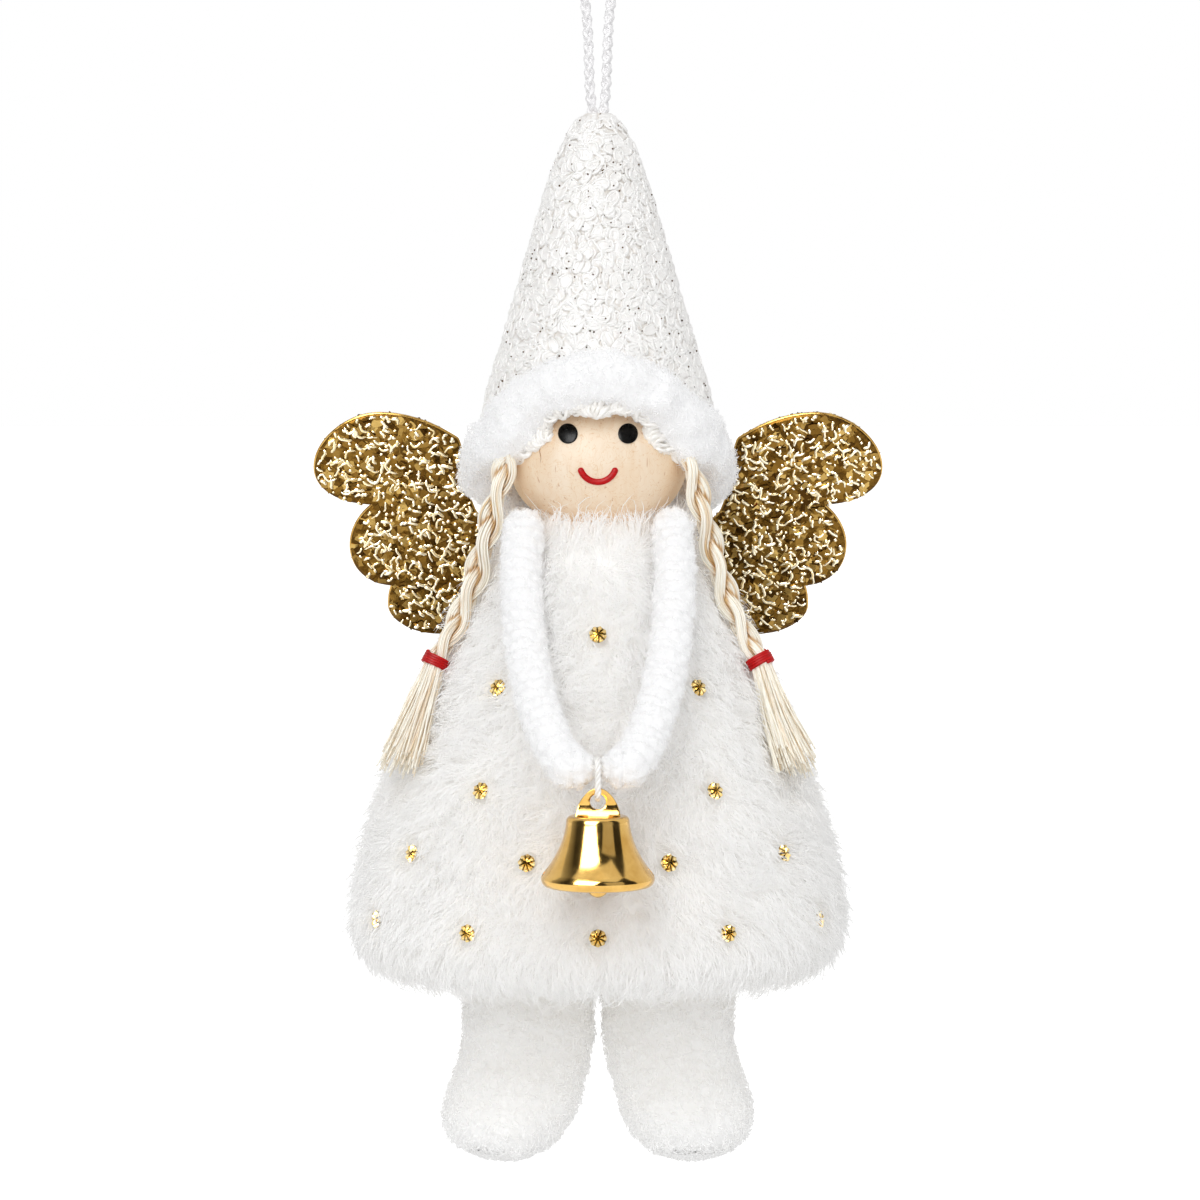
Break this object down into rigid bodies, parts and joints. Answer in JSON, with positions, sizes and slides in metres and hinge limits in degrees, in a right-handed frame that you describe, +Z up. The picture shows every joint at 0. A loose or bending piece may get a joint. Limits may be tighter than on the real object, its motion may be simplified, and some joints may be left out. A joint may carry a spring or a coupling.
{
  "type": "hanging angel ornament",
  "caption": "Stuffed hanging angel figure with a wooden head, cone hat, plaits, glitter wings, fur dress, joined hands holding a bell, and plush boots.",
  "frame": {"origin": "inside top of the cord loop, where a hook or twig carries the ornament", "axes": "+Z up along the figure, -Y out of its face, +X to the figure's own left"},
  "size_m": [0.1144, 0.1167, 0.2469],
  "materials": {
    "cord": "braided satin",
    "thread": "white thread",
    "hat_cloth": "embossed pearl cloth",
    "plush": "curly white pile",
    "fur": "long white pile",
    "boot_plush": "short white pile",
    "stuffing": "fibre filling",
    "wood": "turned, clear sealed",
    "black_paint": "gloss paint",
    "red_paint": "paint",
    "red_thread": "red thread",
    "straw": "straw-coloured yarn",
    "gold_metal": "polished",
    "sequin": "metallised star cut",
    "glitter_foam": "gold glitter",
    "card": "plain board"
  },
  "bodies": {
    "figure": {"hanging_cord": "cord", "cord_knot": "cord", "hat": "hat_cloth", "hat_filling": "stuffing", "hat_trim": "plush", "head": "wood", "left_eye": "black_paint", "right_eye": "black_paint", "smile": "red_paint", "dress": "fur", "body_filling": "stuffing", "base_disc": "card", "left_arm": "plush", "right_arm": "plush", "hand_stitch": "thread", "wings": "glitter_foam", "left_hip_thread": "thread", "right_hip_thread": "thread", "sequin_01": "sequin", "sequin_02": "sequin", "sequin_03": "sequin", "sequin_04": "sequin", "sequin_05": "sequin", "sequin_06": "sequin", "sequin_07": "sequin", "sequin_08": "sequin", "sequin_09": "sequin", "sequin_10": "sequin", "sequin_11": "sequin", "sequin_12": "sequin", "sequin_13": "sequin", "sequin_14": "sequin", "sequin_15": "sequin", "sequin_16": "sequin", "sequin_17": "sequin", "sequin_18": "sequin", "sequin_19": "sequin", "sequin_20": "sequin", "sequin_21": "sequin", "sequin_22": "sequin", "sequin_23": "sequin", "sequin_24": "sequin", "sequin_25": "sequin"},
    "bell_loop": {"bell_thread": "thread"},
    "bell": {"bell_shell": "gold_metal", "bell_hanger": "gold_metal"},
    "clapper": {"clapper": "gold_metal"},
    "left_plait": {"left_plait": "straw", "left_plait_tie": "red_thread", "left_tassel": "straw"},
    "right_plait": {"right_plait": "straw", "right_plait_tie": "red_thread", "right_tassel": "straw"},
    "left_leg": {"left_boot": "boot_plush", "left_boot_filling": "stuffing", "left_sole": "boot_plush"},
    "right_leg": {"right_boot": "boot_plush", "right_boot_filling": "stuffing", "right_sole": "boot_plush"}
  },
  "joints": [
    {"name": "thread_swing", "type": "hinge", "parent": "figure", "child": "bell_loop", "pos_m": [0, -0.05748, -0.1603], "axis": [-1, 0, 0], "range_deg": [-2, 60]},
    {"name": "bell_swing", "type": "hinge", "parent": "bell_loop", "child": "bell", "pos_m": [0, -0.05748, -0.16615], "axis": [0, 1, 0], "range_deg": [-30, 30]},
    {"name": "clapper_swing", "type": "hinge", "parent": "bell", "child": "clapper", "pos_m": [0, -0.05748, -0.1716], "axis": [0, 1, 0], "range_deg": [-30, 30]},
    {"name": "left_plait_lift", "type": "hinge", "parent": "figure", "child": "left_plait", "pos_m": [0.018, -0.0133, -0.1041], "axis": [-0.3502, -0.9367, 0], "range_deg": [0, 60]},
    {"name": "right_plait_lift", "type": "hinge", "parent": "figure", "child": "right_plait", "pos_m": [-0.018, -0.0133, -0.1041], "axis": [-0.3502, 0.9367, 0], "range_deg": [0, 60]},
    {"name": "left_leg_swing", "type": "hinge", "parent": "figure", "child": "left_leg", "pos_m": [0.0137, -0.002, -0.2018], "axis": [1, 0, 0], "range_deg": [-20, 20]},
    {"name": "right_leg_swing", "type": "hinge", "parent": "figure", "child": "right_leg", "pos_m": [-0.0137, -0.002, -0.2018], "axis": [1, 0, 0], "range_deg": [-20, 20]}
  ]
}
